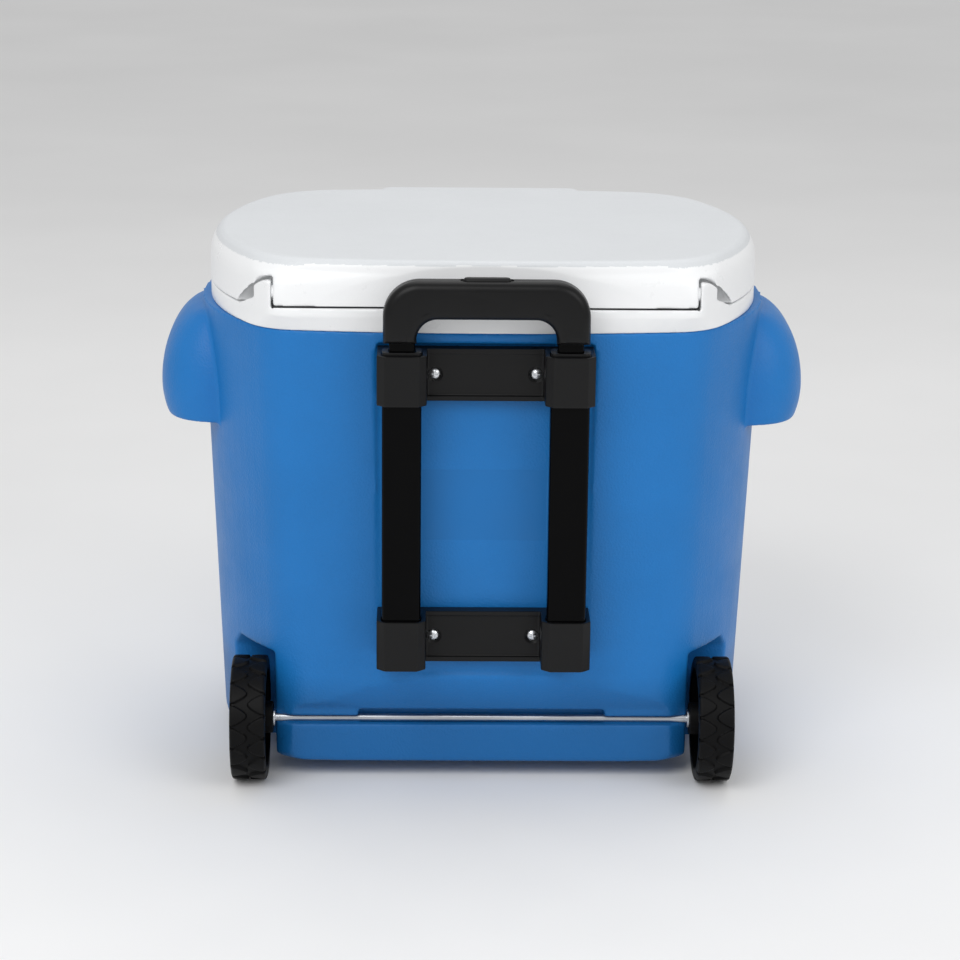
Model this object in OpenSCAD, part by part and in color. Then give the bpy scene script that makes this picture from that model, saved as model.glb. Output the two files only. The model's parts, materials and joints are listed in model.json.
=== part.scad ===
// Cooler chest on two wheels, with a hinged lid, moulded side grips and a telescoping tow handle.
// The handle, the hinge and the wheels are at the rear (-Y). +Z is up and the floor is z = 0.

/* [Chest] */
// Half width of the chest at the top of the blue shell
chest_half_w = 286; // [280:1:292]
// Half depth of the chest at the top of the blue shell
chest_half_d = 200; // [196:1:204]
// Height of the top edge of the blue shell
shell_top = 466; // [460:1:470]
// Height of the underside above the floor
underside = 18; // [14:1:20]
// Radius of the shell's bowed sides in plan
side_bow_r = 255; // [245:1:265]
// Radius of the bowed front and rear walls in plan
end_bow_r = 1500; // [1200:50:2000]
// Radius of the corners in plan
corner_r = 62; // [55:1:70]
// Wall thickness of the mouldings
wall = 3; // [2.5:0.5:3.5]
// Thickness of the insulated walls at the rim
insulated_wall = 38; // [34:1:42]

/* [Lid] */
// Height of the lid's top face
lid_top_z = 535; // [533:1:537]
// Height of the seam between the rim and the lid
seam_z = 483; // [482:1:484]
// Half width of the lid and the rim
rim_half_w = 278; // [276:0.5:279]
// Radius of the bowed sides of the lid and the rim in plan
rim_bow_r = 300; // [290:1:320]
// Half length of the straight rear flap
flap_half_w = 205; // [200:1:207]
// Radius of the hinge pins
hinge_pin_r = 6.5; // [5.5:0.5:6.5]

/* [Tow handle] */
// Distance from the centre line to each tube's centre
tube_x = 80.5; // [79:0.5:82]
// Width of an outer tube
outer_tube_w = 38; // [37:1:39]
// Width of an inner tube
inner_tube_w = 25; // [24:1:26]
// Height of the top of the grip
grip_top = 526; // [522:1:528]
// Depth of the grip from front to back
grip_depth = 28; // [26:1:28]
// Travel of the release button
button_travel = 4; // [3:0.5:4]

/* [Wheels] */
// Radius over the tread
wheel_r = 62.5; // [60:0.5:64]
// Width of the tread
wheel_w = 35; // [33:1:36]
// Distance from the centre line to the tread's inner edge
wheel_x = 215; // [214:1:217]
// Radius of the axle rod
axle_r = 4; // [3.5:0.5:4.5]
// Number of tread lugs in one row
lug_count = 17; // [15:1:19]

/* [Hidden] */
$fn = 48;

// Colours
blue = [0.11, 0.42, 0.70];
white = [0.90, 0.91, 0.92];
cream = [0.87, 0.83, 0.66];
black = [0.10, 0.10, 0.11];
gloss_black = [0.03, 0.03, 0.03];
zinc = [0.75, 0.77, 0.78];

// How far the grip reaches behind the rear wall, and how far the lid's lip reaches past the front wall
grip_reach = 47;
lip_reach = 19;
// The part's origin is at the middle of its footprint, so the chest's own middle is moved forward by this
chest_mid_y = (grip_reach - lip_reach) / 2;

// Change of half width and half depth for each millimetre of height
side_draft = 0.040;
end_draft = 0.014;
base_fillet = 10;

// Hinge axis
pin_y = -180;
pin_z = 502.5;
flap_low = 490.5;
flap_y = -192.5;
flap_sweep_r = 18;
ear_sweep_r = 15.3;
ear_x = flap_half_w + 2;
ear_w = 34;
ear_h = 31;
ear_front = -142;
pin_end_x = ear_x + 5;
pin_tip_r = 4;

// Handle recess in the rear wall
recess_half_w = 106;
recess_low = 117;
recess_high = 456;
recess_y = -192;

// Tow handle
tube_y = -227;
outer_tube_d = 22;
inner_tube_d = 14;
tube_wall = 2;
tube_low = 142;
tube_high = 452;
inner_low = 150;
inner_high = 489;
grip_y = -chest_half_d - grip_reach + grip_depth / 2;
grip_half_w = 98.5;
grip_open_half_w = 66.5;
grip_leg_low = 465.5;
grip_open_top = 489;
button_half_w = 22.5;
yoke_z = 500;
spring_seat_z = yoke_z - button_travel - 2.5;
button_stand = 2.5;
rod_y = -229;
lock_z = 163;
// Half widths along X of the slanted finger and of the slot that it runs in
finger_half = 2;
slot_half = 2.5;

// Wheels
axle_y = -170;
well_y = axle_y + wheel_r + 7.5;
well_top = 2 * wheel_r + 7;
well_x = 207;
run_fit = 0.05;

// Drain, in the front wall
drain_x = 130;
drain_z = 88;
drain_r = 12;

// ---------- Shared shapes ----------

// A quarter of the bowed outline: a side arc, a corner arc and an end arc, each tangent to the next
function quarter(a, b, rs, re, rc) =
    let (s = [a - rs, 0])
    let (e = [0, b - re])
    let (d = norm(e - s))
    let (along = (e - s) / d)
    let (u = (d * d + pow(rs - rc, 2) - pow(re - rc, 2)) / (2 * d))
    let (h = sqrt(pow(rs - rc, 2) - u * u))
    let (c = s + u * along + h * [-along.y, along.x])
    let (t1 = atan2(c.y - s.y, c.x - s.x))
    let (t2 = atan2(c.y - e.y, c.x - e.x))
    concat(
        [for (i = [0:5]) s + rs * [cos(t1 * i / 5), sin(t1 * i / 5)]],
        [for (i = [1:6]) c + rc * [cos(t1 + (t2 - t1) * i / 6), sin(t1 + (t2 - t1) * i / 6)]],
        [for (i = [1:3]) e + re * [cos(t2 + (90 - t2) * i / 3), sin(t2 + (90 - t2) * i / 3)]]
    );

// A closed outline, counter-clockwise from +X
function closed(a, b, rs, re, rc) =
    let (q = quarter(a, b, rs, re, rc))
    let (n = len(q))
    concat(
        q,
        [for (i = [n - 2:-1:0]) [-q[i].x, q[i].y]],
        [for (i = [1:n - 1]) [-q[i].x, -q[i].y]],
        [for (i = [n - 2:-1:1]) [q[i].x, -q[i].y]]
    );

// The shell's outline moved inward by inset
function outline(a, b, inset) =
    closed(a - inset, b - inset, side_bow_r - inset, end_bow_r - inset, corner_r - inset);

// The outline of the rim and the lid; square runs from -1, with the roundest corners, through 0, as round as
// the shell, to 1, with square corners
function rim_outline(square, inset_x, inset_y) =
    closed(rim_half_w - inset_x, chest_half_d - inset_y, rim_bow_r - inset_x,
           end_bow_r + max(0, square) * 2500, corner_r - square * 36 - min(inset_x, inset_y));

function raised(ring, z) = [for (p = ring) [p.x, p.y, z]];

// The chest's outline at height z
function chest_ring(z, inset) =
    raised(outline(chest_half_w - (shell_top - z) * side_draft,
                   chest_half_d - (shell_top - z) * end_draft, inset), z);

// A solid through a stack of rings with equal point counts
module loft(rings) {
    n = len(rings[0]);
    last = len(rings) - 1;
    polyhedron(
        points = [for (r = rings) each r],
        faces = concat(
            [[for (i = [0:n - 1]) i]],
            [[for (i = [n - 1:-1:0]) last * n + i]],
            [for (k = [0:last - 1]) for (i = [0:n - 1])
                [k * n + i, (k + 1) * n + i, (k + 1) * n + (i + 1) % n, k * n + (i + 1) % n]]
        ),
        convexity = 8
    );
}

// Evaluates its children as one closed surface before any bore is cut
module moulded() {
    resize([0, 0, 0]) children();
}

module place() {
    translate([0, chest_mid_y, 0]) children();
}

module both_sides() {
    children();
    mirror([1, 0, 0]) children();
}

// Extrudes a (Y, Z) outline along X from x0 to x1
module along_x(x0, x1) {
    translate([x0, 0, 0]) rotate([90, 0, 90]) linear_extrude(x1 - x0) children();
}

// Extrudes an (X, Z) outline along Y from y0 to y1
module along_y(y0, y1) {
    translate([0, y1, 0]) rotate([90, 0, 0]) linear_extrude(y1 - y0) children();
}

module rod_x(r, x0, x1) {
    translate([x0, 0, 0]) rotate([0, 90, 0]) cylinder(r = r, h = x1 - x0);
}

module rod_y_axis(r, y0, y1) {
    translate([0, y0, 0]) rotate([-90, 0, 0]) cylinder(r = r, h = y1 - y0);
}

module block(x0, x1, y0, y1, z0, z1) {
    translate([x0, y0, z0]) cube([x1 - x0, y1 - y0, z1 - z0]);
}

// A rectangle with round corners, centred on the origin
module round_rect(w, d, r) {
    square([w, d - 2 * r], center = true);
    square([w - 2 * r, d], center = true);
    for (x = [-1, 1], y = [-1, 1])
        translate([x * (w / 2 - r), y * (d / 2 - r)]) circle(r);
}

// ---------- Chest ----------

// The chest's outer form, or with an inset the space inside its walls
module chest_form(inset, top) {
    fillet = base_fillet - inset;
    low = underside + inset;
    loft(concat(
        [for (a = [0:30:90]) let (z = low + fillet * (1 - cos(a)))
            raised(outline(chest_half_w - (shell_top - z) * side_draft,
                           chest_half_d - (shell_top - z) * end_draft,
                           inset + fillet * (1 - sin(a))), z)],
        [for (z = [150, 300, top]) chest_ring(z, inset)]
    ));
}

// Everything cut into the chest's outside; grow thickens it, to leave a wall inside
module chest_cuts(grow) {
    side = 400;
    both_sides() along_x(well_x - grow, side)
        polygon([[-side, -1], [well_y + grow, -1], [well_y + grow, well_top - 14],
                 [well_y - 14, well_top + grow], [-side, well_top + grow]]);
    block(-recess_half_w - grow, recess_half_w + grow, -side, recess_y + grow,
          recess_low - grow, recess_high + grow);
    rear_undercut(grow);
}

// The lower rear face: it slopes inward from a crease that falls towards the sides
module rear_undercut(grow) {
    crease = [[-215, 95], [-201, 98], [-113, 114], [113, 114], [201, 98], [215, 95]];
    face_y = -180 + grow;
    loft_x([for (c = crease) [
        [c.x, -230, c.y + grow], [c.x, -chest_half_d + 5 + grow, c.y + grow],
        [c.x, face_y, 76 + grow], [c.x, face_y + 3, 10], [c.x, -230, 10]
    ]]);
}

// A loft through sections that stand along X
module loft_x(sections) {
    multmatrix([[0, 0, 1, 0], [1, 0, 0, 0], [0, 1, 0, 0], [0, 0, 0, 1]])
        loft([for (s = sections) [for (i = [len(s) - 1:-1:0]) [s[i].y, s[i].z, s[i].x]]]);
}

// Side grip: a hollow wing, open below for the fingers
wing_root_x = 245;
wing_low = 347;
wing_mid = 378;
wing_high = 456;
wing_half_l = 92;

function wing_x(z) =
    282 + 46 * sqrt(max(0, 1 - pow((z - wing_mid) / (z > wing_mid ? wing_high - wing_mid + 1 : 62), 2)));

function wing_ring(z, inset) =
    let (reach = wing_x(z) - wing_root_x - inset)
    let (half = wing_half_l - inset - (z > wing_mid ? 26 * pow((z - wing_mid) / 78, 2) : 0))
    concat(
        [for (i = [-9:9]) let (t = i * 10)
            [wing_root_x + reach * pow(cos(t), 0.62), half * sign(t) * pow(abs(sin(t)), 0.62), z]]
    );

module wing(inset, levels) {
    loft([for (z = levels) wing_ring(z, inset)]);
}

module outer_shell_moulding() {
    moulded() difference() {
        union() {
            difference() {
                chest_form(0, shell_top);
                chest_cuts(0);
            }
            both_sides() wing(0, [wing_low, 354, 362, 372, 384, 396, 408, 420, 432, 442, 450, wing_high]);
            feet();
        }
        shell_space(wall);
        loft([chest_ring(shell_top - 2 * wall, 20), chest_ring(shell_top + 1, 20)]);
        both_sides() difference() {
            wing(6, [wing_low - 1, 360, 380, 403, 424]);
            chest_form(0, shell_top);
        }
        axle_groove();
    }
}

// The space inside the shell's walls, below the inward flange at its top
module shell_space(inset) {
    difference() {
        chest_form(inset, shell_top - inset);
        chest_cuts(inset);
        block(-well_x - inset, well_x + inset, -300, axle_y + 6 + inset, 53 - inset, 81 + inset);
    }
}

// Groove that the axle is pressed into, with a deeper pocket in the middle
module axle_groove() {
    block(-well_x - 1, well_x + 1, -300, axle_y, wheel_r - axle_r, wheel_r + axle_r);
    block(-124, 124, -300, axle_y + axle_r + 1, wheel_r - 4, wheel_r + 12);
}

// Front feet, level with the wheels
module feet() {
    for (x = [-150, 150])
        translate([x, 130, 0]) hull() {
            translate([-38, -16, 0]) cube([76, 32, 1]);
            translate([-44, -22, underside + 1]) cube([88, 44, 1]);
        }
}

module outer_shell() {
    color(blue) place() difference() {
        outer_shell_moulding();
        translate([0, axle_y, wheel_r]) rod_x(axle_r, -well_x - 2, well_x + 2);
        bracket_screw_places() rod_y_axis(1.8, -200, -180);
        translate([drain_x, 0, drain_z]) rod_y_axis(drain_r, 150, 230);
    }
}

// ---------- Insulation and liner ----------

liner_low = 60;
hump_y = -82;
hump_top = 150;

function cavity_ring(z, inset) =
    raised(outline(chest_half_w - insulated_wall - (shell_top - z) * side_draft,
                   chest_half_d - insulated_wall - (shell_top - z) * end_draft - 2, inset), z);

// The storage space, or with a negative inset the liner's outside
module cavity_form(inset, low, top) {
    difference() {
        loft([
            raised([for (p = cavity_ring(low, inset)) [p.x, p.y] * 0.96], low),
            cavity_ring(low + 12, inset),
            cavity_ring(top, inset)
        ]);
        hump(inset);
    }
}

// A raised step in the floor over the axle and the wheel wells
module hump(inset) {
    top = hump_top + inset;
    y = hump_y + inset;
    along_x(-300, 300) polygon([[-300, 0], [y, 0], [y, top - 25], [y - 30, top], [-300, top]]);
}

module insulation_foam() {
    gap = 0.5;
    color(cream) place() difference() {
        moulded() difference() {
            shell_space(wall + gap);
            cavity_form(-wall - gap, liner_low - wall - gap, shell_top + 10);
        }
        translate([drain_x, 0, drain_z]) rod_y_axis(drain_r + gap, 100, 230);
        bracket_screw_places() rod_y_axis(1.8 + gap, -200, -180);
    }
}

module inner_liner_moulding() {
    inside_top = seam_z + 20;
    moulded() difference() {
        intersection() {
            union() {
                cavity_form(-wall, liner_low - wall, inside_top);
                difference() {
                    rim_form(pin_z + 30);
                    rim_underside();
                }
            }
            union() {
                block(-400, 400, -300, 300, 0, seam_z);
                block(-ear_x - 1, ear_x + 1, -300, pin_y, seam_z - 5, flap_low - 1.5);
                both_sides() ear();
            }
        }
        cavity_form(0, liner_low, inside_top + 5);
        translate([0, pin_y, pin_z]) rod_x(flap_sweep_r, -ear_x + 0.4, ear_x - 0.4);
    }
}

// The white rim: it flares from the shell's round corners to squarer ones under the lid
module rim_form(top) {
    loft([
        raised(rim_outline(0, 1, 0), shell_top),
        raised(rim_outline(1, 1, 0), seam_z - 1),
        raised(rim_outline(1, 1, 0), top)
    ]);
}

// The hollow under the rim
module rim_underside() {
    skin = 4;
    loft([
        raised(rim_outline(0, 1 + skin, skin), shell_top - 1),
        raised(rim_outline(0.8, 1 + skin, skin), seam_z - skin)
    ]);
}

// Hinge ear at a rear corner of the rim: highest beside the lid's flap, it falls in an arch to the seam
module ear() {
    intersection() {
        along_y(-260, -100) arch(0);
        along_x(ear_x, ear_x + ear_w) polygon(concat(
            [[ear_front, seam_z - 5], [-240, seam_z - 5], [-240, pin_z]],
            [for (t = [180:-15:0]) [pin_y + 12.5 * cos(t) - (t > 90 ? 3 : 0), pin_z + 11.5 * sin(t)]],
            [[pin_y + 12.5, pin_z - 8], [ear_front, seam_z]]
        ));
    }
}

// (X, Z) outline of an ear, enlarged by gap
module arch(gap) {
    polygon(concat(
        [[ear_x - gap, shell_top + 1]],
        [for (i = [0:10]) let (u = i / 10)
            [ear_x - gap + u * (ear_w + 2 * gap), seam_z + gap + ear_h * (1 - u * u)]],
        [[ear_x + ear_w + gap, shell_top + 1]]
    ));
}

module inner_liner() {
    color(white) place() difference() {
        inner_liner_moulding();
        both_sides() translate([0, pin_y, pin_z]) rod_x(pin_tip_r, flap_half_w, pin_end_x);
        translate([drain_x, 0, drain_z]) rod_y_axis(drain_r, 100, 230);
    }
}

// Stepped pin: the thick end turns in the lid's flap and the thin end is pressed into the ear
module hinge_pin(side) {
    color(white) place() scale([side, 1, 1]) translate([0, pin_y, pin_z]) {
        rod_x(hinge_pin_r, flap_half_w - 9, ear_x - 0.3);
        rod_x(pin_tip_r, ear_x - 1, pin_end_x);
    }
}

module hinge_pin_left() {
    hinge_pin(-1);
}

module hinge_pin_right() {
    hinge_pin(1);
}

// ---------- Lid ----------

lid_shift = 4;
lid_low = seam_z + 0.8;
plug_low = seam_z - 12;

// One level of the lid: z, inset of the sides, inset of the ends, squareness of the corners
lid_levels = [
    [0, 0, 0, 1], [12, 0.2, 0.2, 1], [28, 0.5, 0.5, 0.5], [37, 2.5, 1.2, 0.1], [44, 6, 2.4, -0.3],
    [48.5, 9.5, 4, -0.65], [lid_top_z - lid_low, 14, 7, -1]
];

// The lid's outer form, or with an inset the space inside its skin
module lid_form(inset) {
    translate([0, lid_shift, lid_low]) loft([
        for (l = lid_levels)
            raised(rim_outline(l[3], l[1] + inset, l[2] + inset), l[0] > 0 ? l[0] - inset : 0)
    ]);
}

// The part of the lid's form that the rear flap replaces
module flap_cut() {
    block(-ear_x, ear_x, -300, pin_y + 13, lid_low - 1, flap_low);
    block(-ear_x, ear_x, -300, flap_y, lid_low - 1, 600);
}

// The space that the hinge ears need while the lid swings
module ear_space() {
    both_sides() {
        translate([0, pin_y, pin_z]) rod_x(ear_sweep_r, flap_half_w, ear_x + 16);
        block(flap_half_w, ear_x + 16, -300, pin_y + ear_sweep_r, lid_low - 1, pin_z);
    }
    arch_space(0);
}

// The arched part of that space, thickened by grow to leave a wall of the lid around it
module arch_space(grow) {
    gap = 1.6;
    both_sides() along_y(-300, ear_front + 6 + grow) arch(gap + grow);
}

// Finger lip in the middle of the front edge
module lift_lip() {
    hull() {
        for (x = [-96, 96]) {
            translate([x, chest_half_d + lip_reach - 12, lid_top_z - 20]) cylinder(r = 12, h = 14, $fn = 32);
            translate([x, chest_half_d + lip_reach - 12, lid_top_z - 6]) cylinder(r = 9, h = 5, $fn = 32);
            translate([x, chest_half_d - 22, lid_top_z - 20]) cylinder(r = 12, h = 19.5, $fn = 32);
        }
    }
}

module lid_top() {
    color(white) place() difference() {
        moulded() difference() {
            union() {
                difference() {
                    lid_form(0);
                    flap_cut();
                }
                lift_lip();
            }
            difference() {
                translate([0, 0, -1]) lid_form(wall);
                block(-500, 500, -300, lid_space_y, 400, 600);
                arch_space(wall);
            }
            ear_space();
        }
        both_sides() translate([0, pin_y, pin_z])
            rod_x(hinge_pin_r + run_fit, flap_half_w - 10, flap_half_w + 1);
    }
}

// The lid is solid behind this line, around the hinge
lid_space_y = pin_y + 19;

// The part of the lid that sits inside the chest's mouth
module lid_plug(inset, low, top) {
    loft([cavity_ring(low, 9 + inset), cavity_ring(low + 6, 6 + inset), cavity_ring(top, 6 + inset)]);
}

module lid_foam() {
    gap = 0.5;
    color(cream) place() moulded() {
        difference() {
            translate([0, 0, -1 - gap / 2]) lid_form(wall + gap);
            block(-400, 400, -400, lid_space_y + gap, 400, 600);
            block(-400, 400, -400, 400, 400, lid_low + wall + gap);
            arch_space(wall + gap);
        }
        lid_plug(wall + gap, plug_low + wall + gap, lid_low + wall + 5);
    }
}

module lid_inner_panel() {
    color(white) place() moulded() difference() {
        union() {
            difference() {
                translate([0, lid_shift, 0]) loft([
                    raised(rim_outline(1, wall + 0.5, wall + 0.5), lid_low),
                    raised(rim_outline(1, wall + 0.5, wall + 0.5), lid_low + wall)
                ]);
                block(-400, 400, -400, lid_space_y + 0.3, 400, 600);
                arch_space(wall + 0.3);
            }
            lid_plug(0, plug_low, lid_low + 1);
        }
        lid_plug(wall, plug_low + wall, lid_low + wall + 1);
    }
}

// ---------- Brackets and tubes ----------

screw_x = 49;
upper_screw_z = 427;
lower_screw_z = 161;

module bracket_screw_places() {
    for (z = [upper_screw_z, lower_screw_z], x = [-screw_x, screw_x])
        translate([x, 0, z]) children();
}

// One bracket: a plate with a socket at each end for a tube
module bracket(z0, z1, plate_low, tube_from, screw_z) {
    front_y = -243;
    plate_y = -206;
    chamfer = 7;
    difference() {
        union() {
            both_sides() translate([0, 0, z0]) linear_extrude(z1 - z0) polygon([
                [tube_x - 24, recess_y], [tube_x - 24, front_y + chamfer], [tube_x - 16, front_y],
                [tube_x + 16, front_y], [tube_x + 24, front_y + chamfer], [tube_x + 24, recess_y]
            ]);
            block(-tube_x, tube_x, plate_y + 3, recess_y, plate_low, z1);
            block(-tube_x, tube_x, plate_y, plate_y + 4, z1 - 5, z1);
            block(-tube_x, tube_x, plate_y, plate_y + 4, plate_low, plate_low + 5);
        }
        both_sides() translate([tube_x, tube_y, tube_from])
            linear_extrude(z1) round_rect(outer_tube_w, outer_tube_d, 5);
        for (x = [-screw_x, screw_x]) translate([x, 0, screw_z]) {
            rod_y_axis(2.2, -220, -180);
            rod_y_axis(7, -220, plate_y + 5);
        }
    }
}

module upper_bracket() {
    color(black) place() bracket(404, 453, 401, 300, upper_screw_z);
}

module lower_bracket() {
    color(black) place() bracket(137, 187.5, 135, tube_low, lower_screw_z);
}

// Pan-head screw with a cross recess, its head at the rear
module bracket_screw() {
    head_y = -201;
    difference() {
        union() {
            intersection() {
                translate([0, head_y + 4.5, 0]) sphere(r = 7.2);
                rod_y_axis(5.4, head_y - 2.7, head_y);
            }
            rod_y_axis(1.8, head_y - 0.5, -181);
        }
        block(-3, 3, head_y - 3, head_y - 1, -0.6, 0.6);
        block(-0.6, 0.6, head_y - 3, head_y - 1, -3, 3);
    }
}

module upper_bracket_screws() {
    color(zinc) place() for (x = [-screw_x, screw_x]) translate([x, 0, upper_screw_z]) bracket_screw();
}

module lower_bracket_screws() {
    color(zinc) place() for (x = [-screw_x, screw_x]) translate([x, 0, lower_screw_z]) bracket_screw();
}

module tube(w, d, t, r, z0, z1) {
    translate([0, 0, z0]) linear_extrude(z1 - z0) difference() {
        round_rect(w, d, r);
        round_rect(w - 2 * t, d - 2 * t, r - t + 0.5);
    }
}

module outer_tube(side) {
    color(gloss_black) place() translate([side * tube_x, tube_y, 0])
        tube(outer_tube_w, outer_tube_d, tube_wall, 5, tube_low, tube_high);
}

module outer_tube_left() {
    outer_tube(-1);
}

module outer_tube_right() {
    outer_tube(1);
}

// Guide bush pressed into the top of an outer tube
module tube_bush(side) {
    clear = 0.35;
    bore_w = inner_tube_w + 2 * clear;
    bore_d = inner_tube_d + 2 * clear;
    color(black) place() translate([side * tube_x, tube_y, 0]) difference() {
        union() {
            translate([0, 0, tube_high - 24]) linear_extrude(24)
                round_rect(outer_tube_w - 2 * tube_wall, outer_tube_d - 2 * tube_wall, 3.5);
            translate([0, 0, tube_high]) linear_extrude(4) round_rect(outer_tube_w, outer_tube_d, 5);
        }
        translate([0, 0, tube_high - 30]) linear_extrude(40) round_rect(bore_w, bore_d, 3.4);
    }
}

module tube_bush_left() {
    tube_bush(-1);
}

module tube_bush_right() {
    tube_bush(1);
}

module inner_tube(side) {
    color(gloss_black) place() difference() {
        translate([side * tube_x, tube_y, 0])
            tube(inner_tube_w, inner_tube_d, 1.5, 3, inner_low, inner_high);
        scale([side, 1, 1]) translate([0, rod_y, lock_z]) rod_x(3.4, tube_x - 11.2, tube_x + 30);
    }
}

module inner_tube_left() {
    inner_tube(-1);
}

module inner_tube_right() {
    inner_tube(1);
}

// Block at the foot of an inner tube: it slides in the outer tube and carries the lock pin
module guide_block(side) {
    color(black) place() scale([side, 1, 1]) difference() {
        union() {
            translate([tube_x, tube_y, 145]) linear_extrude(inner_low - 145)
                round_rect(outer_tube_w - 2 * tube_wall - 0.7, outer_tube_d - 2 * tube_wall - 0.7, 3);
            translate([tube_x, tube_y, inner_low]) linear_extrude(26)
                round_rect(inner_tube_w - 3, inner_tube_d - 3, 2);
        }
        translate([0, rod_y, lock_z]) rod_x(3.2, tube_x - 11, tube_x + 30);
        block(tube_x - 10, tube_x + 10, rod_y - 1.8, rod_y + 1.8, lock_z - 12, 200);
        translate([tube_x, rod_y, lock_z + 2]) cylinder(r = 2.6, h = 24);
    }
}

module guide_block_left() {
    guide_block(-1);
}

module guide_block_right() {
    guide_block(1);
}

// ---------- Grip, button and lock ----------

// The grip seen from behind: a bar with two legs
module grip_outline() {
    outer_r = 35;
    inner_r = 20;
    difference() {
        union() {
            for (x = [-1, 1]) translate([x * (grip_half_w - outer_r), grip_top - outer_r]) circle(outer_r);
            translate([-grip_half_w + outer_r, grip_open_top - 5])
                square([2 * (grip_half_w - outer_r), grip_top - grip_open_top + 5]);
            translate([-grip_half_w, grip_leg_low]) square([2 * grip_half_w, grip_top - outer_r - grip_leg_low]);
        }
        translate([-grip_half_w, 0]) square([2 * grip_half_w, grip_leg_low]);
        translate([-grip_open_half_w, grip_leg_low - 1])
            square([2 * grip_open_half_w, grip_open_top - inner_r - grip_leg_low + 1]);
        translate([-grip_open_half_w + inner_r, grip_leg_low - 1])
            square([2 * (grip_open_half_w - inner_r), grip_open_top - grip_leg_low + 1]);
        for (x = [-1, 1])
            translate([x * (grip_open_half_w - inner_r), grip_open_top - inner_r]) circle(inner_r);
    }
}

grip_screw_x = 56;
grip_screw_z = 514;

// Space inside the grip for the yoke, the rods, the button and the tubes
module grip_space() {
    hollow = 9;
    block(-90, 90, grip_y - hollow, grip_y + hollow, spring_seat_z, 508);
    block(-40, 40, grip_y - hollow, grip_y + hollow, 507, 521);
    for (x = [-tube_x, tube_x]) {
        translate([x, tube_y, grip_leg_low - 1]) linear_extrude(inner_high - grip_leg_low + 1)
            round_rect(inner_tube_w, inner_tube_d, 3);
        block(x - 8, x + 8, rod_y - 4, rod_y + 4, inner_high - 1, 495);
    }
    translate([0, grip_y, 515]) linear_extrude(20)
        round_rect(2 * button_half_w + 0.7, 10.7, 5.3);
    for (x = [-grip_screw_x, grip_screw_x]) translate([x, 0, grip_screw_z]) {
        rod_y_axis(1.6, grip_y - 10, grip_y + 20);
        rod_y_axis(3.6, grip_y + grip_depth / 2 - 3, grip_y + 30);
    }
}

module grip_front() {
    color(black) place() difference() {
        along_y(grip_y, grip_y + grip_depth / 2) grip_outline();
        grip_space();
    }
}

module grip_rear() {
    color(black) place() difference() {
        along_y(grip_y - grip_depth / 2, grip_y) grip_outline();
        grip_space();
    }
}

module grip_screws() {
    color(zinc) place() for (x = [-grip_screw_x, grip_screw_x]) translate([x, 0, grip_screw_z]) {
        rod_y_axis(1.6, grip_y - 9, grip_y + 12);
        rod_y_axis(3.3, grip_y + grip_depth / 2 - 3, grip_y + grip_depth / 2 - 0.8);
    }
}

module release_button() {
    color(black) place() translate([0, grip_y, yoke_z + 6]) linear_extrude(grip_top + button_stand - yoke_z - 6)
        round_rect(2 * button_half_w, 10, 4.9);
}

module release_yoke() {
    color(black) place() block(-tube_x - 4, tube_x + 4, rod_y - 8, rod_y + 3, yoke_z, yoke_z + 6);
}

// Push rod with a slanted finger that draws the lock pin inward as the rod goes down
module release_rod(side) {
    color(zinc) place() scale([side, 1, 1]) {
        translate([tube_x, rod_y, lock_z + 8]) cylinder(r = 2, h = yoke_z - lock_z - 8);
        translate([tube_x, 0, lock_z]) along_y(rod_y - 1.2, rod_y + 1.2) polygon([
            [-7.5 - finger_half, 7.5], [-7.5 + finger_half, 7.5], [7 + finger_half, -7], [7 - finger_half, -7]
        ]);
        translate([tube_x, 0, lock_z]) block(-7.5 - finger_half, 2, rod_y - 1.2, rod_y + 1.2, 7.4, 10);
    }
}

module release_rod_left() {
    release_rod(-1);
}

module release_rod_right() {
    release_rod(1);
}

// Close-wound return spring under the yoke, drawn as its stacked turns
module release_spring() {
    wire_r = 0.65;
    low = spring_seat_z + wire_r;
    turns = 5;
    pitch = (yoke_z - spring_seat_z - 2 * wire_r) / (turns - 1);
    color(zinc) place() for (i = [0:turns - 1])
        translate([0, grip_y, low + i * pitch]) rotate_extrude() translate([5, 0]) circle(wire_r);
}

module lock_pin(side) {
    color(zinc) place() scale([side, 1, 1]) difference() {
        translate([0, rod_y, lock_z]) rod_x(3, tube_x - 6.8, tube_x + 16.2);
        translate([tube_x, 0, lock_z]) along_y(rod_y - 1.6, rod_y + 1.6) polygon([
            [-3.1 - slot_half, 3.1], [-3.1 + slot_half, 3.1], [3.1 + slot_half, -3.1], [3.1 - slot_half, -3.1]
        ]);
    }
}

module lock_pin_left() {
    lock_pin(-1);
}

module lock_pin_right() {
    lock_pin(1);
}

// ---------- Wheels ----------

// Tread outline: one row of lugs with round-cornered gaps between them
module tread_outline(turn) {
    groove = 2.6;
    difference() {
        circle(wheel_r);
        for (i = [0:lug_count - 1]) rotate(turn + i * 360 / lug_count)
            translate([wheel_r, 0]) rotate(45) square(groove, center = true);
    }
}

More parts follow.
